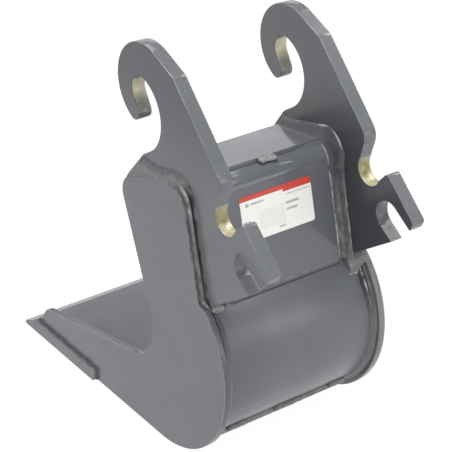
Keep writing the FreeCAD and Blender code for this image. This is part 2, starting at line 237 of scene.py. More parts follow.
def wave(along, waves, seed):
    """Smooth irregular curve along a bead, between -1 and 1.

    It is the mean of one sine for each wavelength, stretched and shifted at random from the seed.
    """
    random = np.random.default_rng(seed)
    total = np.zeros_like(along)
    for length in waves:
        stretch = length * random.uniform(0.8, 1.25)
        total += np.sin(along * 2 * math.pi / stretch + random.uniform(0, 2 * math.pi))
    return total / len(waves)


def ramp(along, start, end):
    """Share that goes evenly from 0 to 1 between two lengths along a bead, given in mm."""
    return np.clip((along / MM - start) / (end - start), 0, 1)


def bump(share, start, end):
    """Smooth hump of height 1 between two values, 0 outside them."""
    return np.sin(math.pi * np.clip((share - start) / (end - start), 0, 1)) ** 2


# Tones across a plain bead, from its toe (share 0) to its crown (share 1): painted shade along the toe
# and the crown, a paler back, no painted glint
EDGE_SHADE = ((-0.12, 0.12, 0.4), (0.88, 1.12, 0.4))
PALE_BACK = ((0.15, 0.75, 0.6),)
NO_GLINT = ()


def tone_lines(share, lines):
    """Tone across a bead: the sum of humps, each given as (first share, last share, strength)."""
    total = 0 * share
    for start, end, strength in lines:
        total = total + np.reshape(strength, (-1, 1)) * bump(share, start, end)
    return np.clip(total, 0, 1)


def bead_section(toe, crown, share, bulge, rope):
    """Section of a bead, as distances along its two legs, from the toe (share 0) to the crown.

    A plain fillet is the straight chord between the legs, lifted by a sine bulge. A rope is a
    half round on the first leg, then a thin film up the second. The number rope goes from one
    form to the other.
    """
    arch = bulge * np.sin(math.pi * share) ** 0.8
    fillet = np.stack([toe * (1 - share) + arch * crown, crown * share + arch * toe])
    turn = math.pi * np.clip(share / ROPE_SHARE, 0, 1)
    film = np.clip((share - ROPE_SHARE) / (1 - ROPE_SHARE), 0, 1)
    half_round = np.stack([toe * (0.55 + 0.45 * np.cos(turn)) - 0.1 * toe * film,
                           toe * (0.30 * np.sin(turn) + 0.04 * turn) + (crown - 0.12 * toe) * film])
    return fillet + rope * (half_round - fillet)


def laid_bead(name, root, across, up, along, spread, rise, seed, bulge=0.3, rope=0.0,
              ripple=0.16 * MM, tapers=(4 * MM, 4 * MM), wander=0.07,
              dark=EDGE_SHADE, bright=PALE_BACK, glint=NO_GLINT, mottle=0.0, paint=None):
    """Weld bead: a section carried along a path of root points.

    At length s the surface runs from the toe, at the distance spread along the direction
    across, to the crown, at the distance rise along the direction up. Ripples add the absolute
    value of a sine of s, bent back at both edges like a row of overlapping discs. Spread and
    rise wander a little with s and close down over the tapers at both ends. The attribute
    bead_place holds s, the share of the section and how mottled the bead is; bead_tone holds
    how dark it is, sooty and as painted shade, how much paler, partly as painted highlight,
    and how much painted glint it has.
    """
    ends = np.clip(np.minimum(along / tapers[0], (along[-1] - along) / tapers[1]), 0, 1)
    size = END_SIZE + (1 - END_SIZE) * np.sqrt(1 - (1 - ends) ** 2)
    toe = spread * size * (1 + wander * wave(along, TOE_WAVES, seed))
    crown = rise * size * (1 + wander * wave(along, CROWN_WAVES, seed + 1))
    rope = np.broadcast_to(rope, along.shape)[:, None]
    share = np.linspace(0, 1, BEAD_POINTS)[None, :]
    section = bead_section(toe[:, None], crown[:, None], share, bulge, rope)
    pitch = along / RIPPLE_PITCH + RIPPLE_DRIFT * wave(along, PITCH_WAVES, seed + 2)
    phase = pitch[:, None] - RIPPLE_TRAIL * (2 * share - 1) ** 2
    disc = (np.abs(np.sin(math.pi * phase)) - RIPPLE_LEVEL) * np.sin(math.pi * share)
    section += np.reshape(ripple, (-1, 1)) * size[:, None] * disc * math.sqrt(0.5)
    back = np.full((len(along), 1), -BEAD_SINK)
    out = np.concatenate([section[0], back], axis=1)[:, :, None]
    high = np.concatenate([section[1], back], axis=1)[:, :, None]
    points = root[:, None] + out * across[:, None] + high * up[:, None]
    tube = grid_piece(name, points)
    blank = np.zeros((len(along), BEAD_POINTS))
    lengths, patches = along[:, None] + blank, np.reshape(mottle, (-1, 1)) + blank
    place = np.stack([lengths, share + blank, patches], axis=-1)
    tone = np.stack([tone_lines(share, lines) + blank for lines in (dark, bright, glint)], axis=-1)
    for attribute, values in (("bead_place", place), ("bead_tone", tone)):
        closed = np.concatenate([values, values[:, -1:]], axis=1)
        layer = tube.data.attributes.new(attribute, "FLOAT_VECTOR", "POINT")
        layer.data.foreach_set("vector", closed.astype(np.float32).ravel())
    tube.data.materials.append(paint or WELD)
    return tube


def side_bead(name, x, out, path, side, spread, rise, seed, **shape):
    """Bead along a side-view path at x, with one leg along X (out is 1 or -1)."""
    along, normal = side_frame(path, side)
    across = np.tile(np.array([out, 0.0, 0.0]), (len(path), 1))
    up = np.concatenate([np.zeros((len(path), 1)), normal], axis=1)
    return laid_bead(name, space(x, path), across, up, along, spread, rise, seed, **shape)


def cross_bead(name, start_x, end_x, root, across, up, spread, rise, seed, thin_end=0.1 * MM,
               **shape):
    """Bead that runs along X at a side-view point, with legs in two side-view directions.

    Over the length thin_end it thins out evenly toward its end.
    """
    count = int((end_x - start_x) / RIPPLE_PITCH * SAMPLES_PER_RIPPLE)
    x = np.linspace(start_x, end_x, count)
    line = space(x, np.tile(np.array(root), (count, 1)))
    across_leg, up_leg = (
        np.tile(np.array([0.0, way[0], way[1]]) / math.hypot(*way), (count, 1)) for way in (across, up)
    )
    thin = np.clip((end_x - x) / thin_end, 0.02, 1)
    return laid_bead(name, line, across_leg, up_leg, x - start_x, spread * thin, rise * thin, seed,
                     **shape)


# Materials

class Value:
    """A socket of a material; arithmetic on it adds Math nodes."""

    def __init__(self, tree, socket=None):
        self.tree = tree
        self.socket = socket

    def node(self, kind, settings, inputs, output=0):
        """Add any node: its settings first, then numbers, colours or links for its inputs."""
        made = self.tree.nodes.new(kind)
        for name, value in settings.items():
            setattr(made, name, value)
        for name, value in inputs.items():
            if isinstance(value, Value):
                self.tree.links.new(value.socket, made.inputs[name])
            else:
                made.inputs[name].default_value = value
        return Value(self.tree, made.outputs[output] if len(made.outputs) else None)

    def math(self, operation, *values):
        return self.node("ShaderNodeMath", {"operation": operation}, dict(enumerate(values)))

    def __add__(self, other):
        return self.math("ADD", self, other)

    __radd__ = __add__

    def __mul__(self, other):
        return self.math("MULTIPLY", self, other)

    def __sub__(self, other):
        return self.math("SUBTRACT", self, other)

    def __rsub__(self, other):
        return self.math("SUBTRACT", other, self)

    def size(self):
        return self.math("ABSOLUTE", self)

    def lesser(self, other):
        return self.math("MINIMUM", self, other)

    def greater(self, other):
        return self.math("MAXIMUM", self, other)

    def reach(self, other):
        """Distance from zero of a pair of coordinates."""
        return self.math("SQRT", self * self + other * other)

    def rise(self, low, high):
        """0 below low, 1 above high, smooth between; low may be the larger one."""
        limits = {"Value": self, "From Min": low, "From Max": high}
        return self.node("ShaderNodeMapRange", {"interpolation_type": "SMOOTHSTEP"}, limits)

    def noise(self, scale, detail=3.0, roughness=0.55):
        """Noise at these coordinates, with features about 1 / scale metres wide, around 0.5."""
        inputs = {"Vector": self, "Scale": scale, "Detail": detail, "Roughness": roughness}
        return self.node("ShaderNodeTexNoise", {}, inputs)

    def stretched(self, factors):
        """These coordinates with each axis multiplied, for a pattern that runs along one way."""
        return self.node("ShaderNodeVectorMath", {"operation": "MULTIPLY"}, {0: self, 1: factors})

    def parts(self):
        """The three components of a vector."""
        split = self.node("ShaderNodeSeparateXYZ", {}, {"Vector": self})
        outputs = split.socket.node.outputs
        return [Value(self.tree, outputs[axis]) for axis in "XYZ"]

    def blend(self, first, second):
        """Colour that goes from first to second as this value goes from 0 to 1."""
        inputs = {"Factor": self, 6: first, 7: second}
        return self.node("ShaderNodeMix", {"data_type": "RGBA"}, inputs, output=2)


# Colours of the paint, the beads and the bare pin seats
PAINT_TONE = (0.115, 0.121, 0.133, 1)
PAINT_LIGHT = (0.130, 0.136, 0.149, 1)
WELD_TONE = (0.098, 0.103, 0.110, 1)
# Paler bead tone, partly a painted highlight
WELD_BRIGHT = (0.315, 0.312, 0.300, 1)
# Sooty darkening and painted shade on the beads
WELD_SOOT_AND_SHADE = (0.022, 0.022, 0.024, 1)
WELD_GLINT = (0.62, 0.62, 0.60, 1)
# Painted highlight on the side plates' outer corner and the ears' rims; also the heel plate's paler
# patches
CORNER_LIGHT = (0.32, 0.33, 0.34, 1)
# Paler tone of cut edges; on the ears its flecks are partly painted sheen
EDGE_LIGHT = (0.21, 0.215, 0.20, 1)
SEAT_SHADE = (0.06, 0.065, 0.05, 1)
# Painted shade, on the ears' faces and on the side plates' cut edges
PAINTED_SHADE_TONE = (0.055, 0.058, 0.065, 1)
BARE_TONE = (0.43, 0.39, 0.22, 1)
BARE_DARK = (0.29, 0.25, 0.11, 1)
BARE_GREEN = (0.34, 0.35, 0.27, 1)
BARE_PALE = (0.60, 0.56, 0.40, 1)
HOOK_PALE = (0.72, 0.69, 0.48, 1)
# Depth of the bump at full height
PAINT_RELIEF = 0.12 * MM
BEAD_RELIEF = 0.3 * MM
LABEL_RELIEF = 0.02 * MM


def new_finish(name):
    """An empty material and its object coordinates."""
    material = bpy.data.materials.new(name)
    material.use_nodes = True
    material.node_tree.nodes.clear()
    start = Value(material.node_tree)
    return material, start.node("ShaderNodeTexCoord", {}, {}, "Object")


def close_finish(place, colour, roughness, height, depth, metallic=0.0):
    """Principled surface with a bump of the given depth, joined to the material's output."""
    bump = place.node("ShaderNodeBump", {}, {"Height": height, "Strength": 1.0, "Distance": depth})
    inputs = {"Base Color": colour, "Roughness": roughness, "Metallic": metallic, "Normal": bump}
    surface = place.node("ShaderNodeBsdfPrincipled", {}, inputs)
    place.node("ShaderNodeOutputMaterial", {}, {"Surface": surface})


def paint_coat(place, base_roughness=0.18):
    """Colour, roughness and height of the plain paint: mottled tone, orange peel, fine dust."""
    cloud = place.noise(14.0, 4.0).rise(0.3, 0.7)
    speck = place.noise(420.0, 2.0)
    peel = place.noise(700.0, 2.0)
    swell = place.noise(60.0, 2.0)
    tone = cloud.blend(PAINT_TONE, PAINT_LIGHT)
    dusty = speck.rise(0.62, 0.8) * 0.25
    colour = dusty.blend(tone, PAINT_LIGHT)
    roughness = base_roughness + place.noise(35.0, 4.0) * 0.1 + speck * 0.04
    height = peel * 0.35 + swell * 2.0
    return colour, roughness, height


def plate_paint(name, base_roughness, lightening=0.0):
    """Paint of a plate; lightening is the share by which it is paler all over, in blotches."""
    material, place = new_finish(name)
    colour, roughness, height = paint_coat(place, base_roughness)
    if lightening:
        pale_patches = place.noise(90.0, 3.0).rise(0.3, 0.6) * (lightening * 0.5) + lightening * 0.5
        colour = pale_patches.blend(colour, CORNER_LIGHT)
    close_finish(place, colour, roughness, height, PAINT_RELIEF)
    return material


def side_paint():
    """Paint of the side plates: painted shade on the cut edges, painted highlight on the outer corner.

    The left plate's cut edge is paler, in blotches.
    """
    material, place = new_finish("side_paint")
    colour, roughness, height = paint_coat(place)
    x = place.parts()[0]
    depth = SIDE_OUTER_X - x.size()
    cut_edge = depth.rise(0.5 * MM, 1.2 * MM) * (x.size() - SIDE_INNER_X).rise(0.2 * MM, 0.6 * MM)
    # Painted shade on the cut edges
    colour = (cut_edge * 0.45).blend(colour, PAINTED_SHADE_TONE)
    left = x.rise(1 * MM, -1 * MM)
    pale_patches = place.noise(30.0, 4.0).rise(0.35, 0.65) * 0.45 + 0.45
    colour = (cut_edge * left * pale_patches).blend(colour, EDGE_LIGHT)
    # Painted highlight along the outer corner
    corner = depth.rise(0.08 * MM, 0.25 * MM) * depth.rise(1.1 * MM, 0.7 * MM)
    colour = (corner * 0.5).blend(colour, CORNER_LIGHT)
    close_finish(place, colour, roughness, height, PAINT_RELIEF)
    return material


def ear_paint():
    """Paint of the hitch ears.

    Painted shade darkens the outer face high up and the inner face low down. The cut edges are
    paler, with a grainy texture whose flecks are partly painted sheen, and drag lines; a painted
    highlight runs in patches along their rims. The hook's seat and flank are bare and pale up to
    a shaded crown; the cup is bare too, and blotched.
    """
    material, place = new_finish("ear_paint")
    colour, roughness, relief = paint_coat(place)
    x, y, z = place.parts()
    from_inner, from_outer = x.size() - EAR_INNER_X, x.size() - EAR_OUTER_X
    cut_edge = from_inner.rise(0.3 * MM, 1.0 * MM) * (SIDE_INNER_X - x.size()).rise(0.3 * MM, 1.0 * MM)

    # Painted shade: the outer face darker high up, the inner face darker low down
    outer_shade = from_outer.rise(-0.6 * MM, -0.2 * MM) * z.rise(-90 * MM, 25 * MM)
    inner_shade = from_inner.rise(0.6 * MM, 0.2 * MM) * z.rise(-5 * MM, -80 * MM)
    colour = (outer_shade.greater(inner_shade) * 0.8).blend(colour, PAINTED_SHADE_TONE)

    seat = PIN_SEAT_RADIUS + 0.7 * MM
    upper = (y - UPPER_PIN[0]).reach(z - UPPER_PIN[1]).rise(seat + 1.5 * MM, seat)
    flank = (y * NOSE_WAY[0] + z * NOSE_WAY[1] + PIN_SEAT_RADIUS).size().rise(1.4 * MM, 0.7 * MM)
    hook = upper.greater(flank * z.rise(-5 * MM, -8 * MM)) * z.rise(11 * MM, 5 * MM)
    hook = hook * (0.15 + z.rise(-17 * MM, -3 * MM) * 0.65) * cut_edge
    crown = upper * z.rise(5 * MM, 11 * MM) * cut_edge
    colour = (crown * 0.7).blend(colour, SEAT_SHADE)

    # Cut edges a little paler all over, with pale flecks that are partly painted sheen
    grain_and_sheen = place.noise(420.0, 4.0).rise(0.42, 0.66)
    colour = (cut_edge * (0.12 + grain_and_sheen * 0.14)).blend(colour, EDGE_LIGHT)
    # Painted highlight along the rims of the cut edges toward the rear, in patches, strongest 6 to 46
    # mm above the upper pin
    rim = from_inner.lesser(EAR_OUTER_X - x.size())
    rim = rim.rise(0.08 * MM, 0.3 * MM) * rim.rise(1.1 * MM, 0.7 * MM) * y.rise(12 * MM, 20 * MM)
    lightening = place.noise(60.0, 3.0).rise(0.4, 0.6) * 0.35
    lightening = lightening.greater(z.rise(6 * MM, 16 * MM) * z.rise(46 * MM, 36 * MM) * 0.8)
    colour = (rim * lightening).blend(colour, CORNER_LIGHT)

    above = z - LOWER_PIN[1]
    cup = (y - LOWER_PIN[0]).reach(above).rise(seat + 1.2 * MM, seat)
    cup = cup * above.rise(9 * MM, 5 * MM) * cut_edge
    blotch = place.noise(150.0, 4.0).rise(0.36, 0.64)
    metal = blotch.blend(BARE_DARK, BARE_TONE)
    metal = above.rise(-3 * MM, 8 * MM).blend(metal, BARE_GREEN)
    metal = (above.rise(-9 * MM, -12 * MM) * (0.3 + blotch * 0.6)).blend(metal, BARE_PALE)
    colour = hook.blend(cup.blend(colour, metal), HOOK_PALE)

    bare = hook.greater(cup)
    drag = place.stretched((25.0, 260.0, 260.0)).noise(1.0, 3.0)
    close_finish(place, colour, roughness + bare * 0.1, relief + cut_edge * drag * 1.4, PAINT_RELIEF,
                 metallic=bare * 0.2)
    return material


def weld_paint():
    """Paint over the beads: sooty darkening and painted shade, paler lines partly of painted
    highlight, and painted glints as bead_tone says, in streaks and patches.
    """
    material, place = new_finish("weld_paint")
    bead = place.node("ShaderNodeAttribute", {"attribute_name": "bead_place"}, {}, "Vector")
    tone = place.node("ShaderNodeAttribute", {"attribute_name": "bead_tone"}, {}, "Vector")
    dark, bright, glint = tone.parts()
    streak = bead.stretched((28.0, 11.0, 0.0)).noise(1.0, 3.0)
    patch = bead.stretched((75.0, 3.5, 0.0)).noise(1.0, 5.0, 0.65).rise(0.44, 0.64)
    mottle = bead.parts()[2]
    cloud = place.noise(95.0, 4.0).rise(0.35, 0.65)
    colour = cloud.blend(WELD_TONE, PAINT_TONE)
    # Paler lines, partly painted highlight
    colour = (bright * streak.rise(0.38, 0.62) * 0.8).blend(colour, WELD_BRIGHT)
    # Sooty darkening and painted shade
    colour = (dark * (0.45 + cloud * 0.2 + streak * 0.6)).blend(colour, WELD_SOOT_AND_SHADE)
    colour = (mottle * patch).blend(colour, WELD_BRIGHT)
    # Painted glints
    spark = glint * bead.stretched((110.0, 3.0, 0.0)).noise(1.0, 3.0).rise(0.36, 0.6)
    colour = spark.blend(colour, WELD_GLINT)
    roughness = 0.2 + place.noise(160.0, 4.0) * 0.22 + dark * 0.15
    height = place.noise(520.0, 3.0) + place.noise(150.0, 3.0) * 1.5 + streak * 1.2
    close_finish(place, colour, roughness, height, BEAD_RELIEF)
    return material


# Label: a red band over a white field with a pale grey panel and short bars in place of print
LABEL_RED = (0.60, 0.045, 0.030, 1)
LABEL_WHITE = (0.86, 0.85, 0.82, 1)
LABEL_GREY = (0.66, 0.64, 0.61, 1)
LABEL_INK = (0.18, 0.18, 0.19, 1)
# Its marks as (left, right, bottom, top), in shares of its width and height
LABEL_BAND = ((-0.1, 1.1, 0.9, 1.1), (0.6, 1.1, 0.84, 1.1))
LABEL_PANEL = (0.24, 0.6, 0.18, 0.6)
LABEL_FAINT_BAR = (0.64, 0.97, 0.755, 0.785)
LABEL_BARS = ((0.07, 0.12, 0.77, 0.84), (0.14, 0.33, 0.785, 0.825), (0.62, 0.81, 0.56, 0.61),
              (0.62, 0.78, 0.42, 0.47), (0.5, 0.59, 0.1, 0.14), (0.02, 0.12, 0.42, 0.46))
LABEL_BLUR = 0.004


def label_print():
    """Printed foil: every mark is a rectangle, and the corners of the foil are round."""
    material, place = new_finish("label_print")
    low, high = node_box("data_label")
    x, y, z = place.parts()
    across = 1 - (x - low[0]) * (1 / (high[0] - low[0]))
    up = (z - low[2]) * (1 / (high[2] - low[2]))

    def between(share, start, end):
        inside = share.rise(start - LABEL_BLUR, start + LABEL_BLUR)
        return inside * share.rise(end + LABEL_BLUR, end - LABEL_BLUR)

    def box(left, right, bottom, top):
        return between(across, left, right) * between(up, bottom, top)

    paper = place.noise(300.0, 3.0).rise(0.4, 0.7) * 0.25
    colour = paper.blend(LABEL_WHITE, LABEL_GREY)
    colour = (box(*LABEL_PANEL) * 0.3).blend(colour, LABEL_GREY)
    ink = box(*LABEL_FAINT_BAR) * 0.7
    for bar in LABEL_BARS:
        ink = ink.greater(box(*bar))
    broken = place.stretched((1600.0, 300.0, 300.0)).noise(1.0, 1.0).rise(0.35, 0.6)
    colour = (ink * (0.35 + broken * 0.5)).blend(colour, LABEL_INK)
    band = box(*LABEL_BAND[0]).greater(box(*LABEL_BAND[1]))
    colour = band.blend(colour, LABEL_RED)
    corner = (across - 0.5).size().rise(0.475, 0.5) * (up - 0.5).size().rise(0.455, 0.5)
    colour = corner.rise(0.2, 0.35).blend(colour, PAINT_TONE)
    close_finish(place, colour, 0.35, place.noise(200.0, 2.0), LABEL_RELIEF)
    return material


# Beads of the bucket

def side_front_bend():
    """Where the side plate's sloping top edge turns down to its front corner."""
    run = SIDE_FRONT_BEND_Y - SIDE_REAR_TOP[0]
    return SIDE_FRONT_BEND_Y, SIDE_REAR_TOP[1] + run * math.tan(math.radians(SIDE_TOP_SLOPE))


def box_edge():
    """Flange direction, corner and downward direction of the upper box's outer face."""
    flange = unit(SIDE_REAR_TOP, side_front_bend())
    down = unit(SIDE_REAR_TOP, SIDE_STEP)
    outward = np.array([-down[1], down[0]])
    corner = meeting(SIDE_REAR_TOP, flange, SIDE_REAR_TOP + outward * BOX_STAND_OFF, down)
    return flange, corner, down


def ripple_step():
    """Distance between the samples along a bead."""
    return RIPPLE_PITCH / SAMPLES_PER_RIPPLE


# Height of the outer bead on the ear, at lengths along it from the ear's front edge
EAR_BEAD_LENGTHS = (0, 16, 25, 35, 45, 72, 90, 95, 100, 108, 120, 135, 150, 170, 190)
EAR_BEAD_RISES = (33, 23, 18, 14.5, 12, 14, 14, 13, 10.5, 8.6, 7.2, 6.3, 6.8, 5.6, 7.5)


def ear_bead(side, sign):
    """Outer bead along the side plate's upper edges, against the ear.

    Its front is a smooth ramp whose sections lean along the ear's front edge, fading out over
    60 mm. From the rear corner down it is a rope with a dark groove beside it. Sooty darkening
    and painted shade mark its toe and the groove, and painted highlight lies on the rope's ridge
    and on the ramp.
    """
    ear_way = unit(EAR_SHOULDER, EAR_WAIST)
    path = rounded_path([
        (SIDE_NOTCH, 0),
        (SIDE_FRONT_CORNER, SIDE_FRONT_RADIUS),
        (side_front_bend(), SIDE_FRONT_BEND_RADIUS),
        (SIDE_REAR_TOP, SIDE_REAR_RADIUS),
        (SIDE_STEP, SIDE_STEP_RADIUS),
        (SIDE_HEEL_TOP, 0),
    ], ripple_step())
    front = path[:, 0] > EAR_SHOULDER[0]
    path = path[front & ((path[:, 1] > SIDE_FRONT_CORNER[1]) | (path[:, 0] > SIDE_REAR_TOP[0]))]
    along, normal = side_frame(path, 1)
    lean = 1 - ramp(along, 0, 60)[:, None]
    side_up = normal + lean ** 1.5 * (ear_way - normal)
    side_up /= np.linalg.norm(side_up, axis=1)[:, None]
    up = np.concatenate([np.zeros((len(path), 1)), side_up], axis=1)
    across = np.tile(np.array([sign, 0.0, 0.0]), (len(path), 1))
    rise = np.interp(along / MM, EAR_BEAD_LENGTHS, EAR_BEAD_RISES) * MM
    rope = ramp(along, 80, 100)
    rope = rope * rope * (3 - 2 * rope)
    ragged = wave(along, (6 * MM, 15 * MM, 33 * MM), 5)
    # Sooty darkening and painted shade at the toe and in the groove, painted highlight on the ridge
    # and the ramp, painted glints along the rope, most near the rear corner
    soot_and_shade = ((-0.12, 0.12, 0.1 * (1 - rope)), (-0.15, 0.28, (1.9 + 1.0 * ragged) * rope),
            (0.52, 0.86, (1.3 + 0.9 * ragged) * rope), (0.68, 1.02, (1.1 + 0.9 * ragged) * rope))
    highlight_lines = ((0.1, 0.8, 0.3 * (1 - rope)), (0.2, 0.62, 1.5 * rope))
    shine = ((0.22, 0.46, 0.9 * bump(along / MM, 84, 125) + 0.35 * rope),)
    piece = laid_bead("ear_bead_" + side, space(sign * SIDE_INNER_X, path), across, up, along,
                      spread=SIDE_OUTER_X - SIDE_INNER_X, rise=rise, seed=3, bulge=0.06, rope=rope,
                      ripple=0.12 * MM * rope, tapers=(0.1 * MM, 5 * MM), wander=0.07 + 0.07 * rope,
                      dark=soot_and_shade, bright=highlight_lines, glint=shine, mottle=0.1 * (1 - rope) + 0.3 * rope)
    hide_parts("ear_weld_" + side)


# Height of the inner bead on the ear, at lengths along it from the flange's front end
BOX_BEAD_LENGTHS = (0, 30, 55, 72, 84, 96, 115, 260)
BOX_BEAD_RISES = (11, 12.5, 15, 17.5, 16, 13, 11, 11)


def box_bead(side, sign):
    """Inner bead over the top plate, round the bend and down the rear face.

    It swells over the bend. Painted shade darkens it, most on the upright run, and a painted
    highlight lines its toe along the flange. On the upright run its toe is shiny, and further
    down it is mottled.
    """
    flange, corner, down = box_edge()
    low = node_box("box_weld_right")[0]
    start = corner + flange * (corner[0] - low[1] - 2 * MM) / -flange[0]
    end = meeting(corner, down, (0, EAR_HEEL_HEIGHT), (1, 0))
    path = rounded_path([(start, 0), (corner, SIDE_REAR_RADIUS), (end, 0)], ripple_step())
    along = side_frame(path, 1)[0]
    rise = np.interp(along / MM, BOX_BEAD_LENGTHS, BOX_BEAD_RISES) * MM
    bend = bump(along / MM, 52, 92)
    upright = ramp(along, 68, 88)
    low_run = ramp(along, 105, 135)
    # Painted shade over the whole section, painted highlight at the toe on the flange, painted glints
    # at the toe and over the bend
    soot_and_shade = ((0.1, 1.1, 0.25 + 0.5 * upright - 0.25 * low_run),)
    highlight_lines = ((-0.1, 0.2, 0.6 * (1 - upright)),)
    shine = ((-0.05, 0.12, 0.5 + 1.5 * upright + bend), (0.88, 1.06, 1.6 * bend + 0.5 * low_run))
    piece = side_bead("box_bead_" + side, sign * EAR_INNER_X, -sign, path, 1, spread=9 * MM,
                      rise=rise, seed=11, bulge=0.05, ripple=0.012 * MM * low_run,
                      tapers=(1 * MM, 4 * MM), wander=0.04, dark=soot_and_shade, bright=highlight_lines, glint=shine,
                      mottle=0.04 + 0.1 * upright + 0.36 * low_run)
    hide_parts("box_weld_" + side)


def shell_bead(side, sign):
    """Bead in the corner of the rolled shell and the side plate.

    Painted shade darkens its toe and its crown. Its upper end is wider and sooty with shiny
    streaks, most of all on the left.
    """
    floor = SHELL_CENTRE[1] - SHELL_RADIUS
    start = (BLADE_REAR + 6 * MM, floor)
    path = np.concatenate([
        straight(start, (SHELL_CENTRE[0], floor), ripple_step()),
        round_run(SHELL_CENTRE, SHELL_RADIUS, -90, SHELL_WELD_END, ripple_step()),
    ])
    along = side_frame(path, -1)[0]
    sooty = ramp(along, 285, 325) * (0.3 if side == "right" else 1.0)
    # Painted shade along the crown and the toe; the upper end darker and sooty
    soot_and_shade = ((0.82, 1.1, 0.9), (-0.1, 0.1, 0.5), (-0.5, 1.5, 1.5 * sooty))
    piece = side_bead("shell_bead_" + side, sign * SIDE_INNER_X, -sign, path, -1,
                      spread=(7 + 4 * sooty) * MM, rise=(5 + 0.5 * sooty) * MM, seed=23, bulge=0.08,
                      ripple=(0.04 + 0.1 * sooty) * MM, dark=soot_and_shade, bright=(),
                      glint=((0.3, 0.48, sooty), (0.62, 0.74, 0.5 * sooty)))
    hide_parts("shell_weld_" + side)


def foot_bead(side):
    """Short bead in the wedge between the ear's lower edge and the shell.

    The left one is drawn out past both ends into a broad smooth patch with a painted glint along its
    lower edge.
    """
    low, high = node_box("foot_weld_" + side)
    right_low, right_high = node_box("foot_weld_right")
    seat = (right_low[1] + 0.2 * MM, right_high[2] - GROUND - 5 * MM)
    if side == "right":
        start, end, spread = low[0], high[0], 10 * MM
        look = dict(bulge=0.06, bright=((0.1, 1.0, 0.9),), glint=((0.3, 0.8, 0.4),))
    else:
        start, end, spread = low[0] - 5 * MM, high[0] + 6 * MM, 20 * MM
        look = dict(bulge=0.1, ripple=0.04 * MM, wander=0.03, dark=(),
                    bright=((-0.2, 1.2, 0.5),), glint=((-0.1, 0.14, 1.2),))
    radial = unit(SHELL_CENTRE, seat)
    sink = spread / (2 * SHELL_RADIUS)
    toward = (radial[1] - radial[0] * sink, -radial[0] - radial[1] * sink)
    piece = cross_bead("foot_bead_" + side, start, end, seat, toward, EAR_LOWER_EDGE_WAY,
                       spread, rise=8 * MM, seed=31, tapers=(1.5 * MM, 1.5 * MM), **look)
    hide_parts("foot_weld_" + side)


def seam_bead():
    """Bead along the joint of the rear plate and the rolled shell."""
    corner, down = box_edge()[1:]
    low, high = node_box("seam_weld")
    start = meeting(corner, down, (0, EAR_HEEL_HEIGHT), (1, 0))
    seat = landing(start, -down)
    radial = unit(SHELL_CENTRE, seat)
    # Painted shadow along its toe on the shell, painted glint along its crown
    piece = cross_bead("seam_bead", low[0], high[0], seat, (radial[1], -radial[0]), -down,
                       spread=2.8 * MM, rise=2.6 * MM, seed=41, ripple=0.05 * MM,
                       dark=((-0.3, 0.6, 1.2),), bright=(), glint=((0.75, 1.1, 0.3),))
    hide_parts("seam_weld")


def top_stitch():
    """Short bead at the rear edge of the top plate, and the painted fill beside it.

    The fill evens out the plate's step toward the left ear, tilted down the bend a little.
    """
    flange, corner = box_edge()[:2]
    low, high = node_box("top_stitch_weld")
    plate_rear = node_box("top_plate")[1][1]
    root = corner + flange * (corner[0] - plate_rear) / -flange[0]
    upward = np.array([flange[1], -flange[0]])
    piece = cross_bead("top_stitch", low[0], high[0], root, -flange, upward, spread=7.5 * MM,
                       rise=4.3 * MM, seed=47, bulge=0.12, ripple=0.22 * MM,
                       tapers=(1.5 * MM, 1.5 * MM), wander=0.14, dark=(),
                       bright=((-0.3, 1.3, 1.2),), glint=((0.1, 0.6, 0.25),))
    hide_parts("top_stitch_weld")
    tilted = -flange - 0.2 * upward
    piece = cross_bead("top_run_out", -EAR_INNER_X + 4 * MM, low[0] - 22 * MM, root, tilted, upward,
                       spread=6.5 * MM, rise=TOP_PLATE_THICKNESS, seed=48, thin_end=46 * MM,
                       bulge=0.03, ripple=0.0, tapers=(1 * MM, 1 * MM), wander=0.02,
                       paint=GLOSS_PAINT)
    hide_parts("top_stitch_weld")


def heel_stitches():
    """Three short beads on the upper edge of the heel plate."""
    angle = math.radians(HEEL_PLATE_TOP)
    radial = np.array([math.cos(angle), math.sin(angle)])
    root = np.array(SHELL_CENTRE) + radial * SHELL_RADIUS
    half = node_box("heel_plate")[1][0]
    spans = ((-half + 1 * MM, 22 * MM), (-27 * MM, 37 * MM), (half - 38 * MM, 24 * MM))
    for number, (start, length) in enumerate(spans):
        # Painted shade along each stitch's crown; the rest paler
        piece = cross_bead("heel_stitch_" + str(number + 1), start, start + length, root,
                           (-radial[1], radial[0]), radial, spread=5.5 * MM,
                           rise=HEEL_PLATE_THICKNESS, seed=53 + number,
                           dark=((0.9, 1.1, 0.4),), bright=((-0.2, 1.0, 0.8),))
        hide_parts("heel_stitch_welds")


def floor_bead():
    """Bead under the floor, along the rear end of the blade."""
    low, high = node_box("floor_weld")
    root = (BLADE_REAR, SHELL_CENTRE[1] - SHELL_RADIUS)
    piece = cross_bead("floor_bead", low[0], high[0], root, (1, 0), (0, -1), spread=6 * MM,
                       rise=6 * MM, seed=61, tapers=(2 * MM, 2 * MM))
    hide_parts("floor_weld")


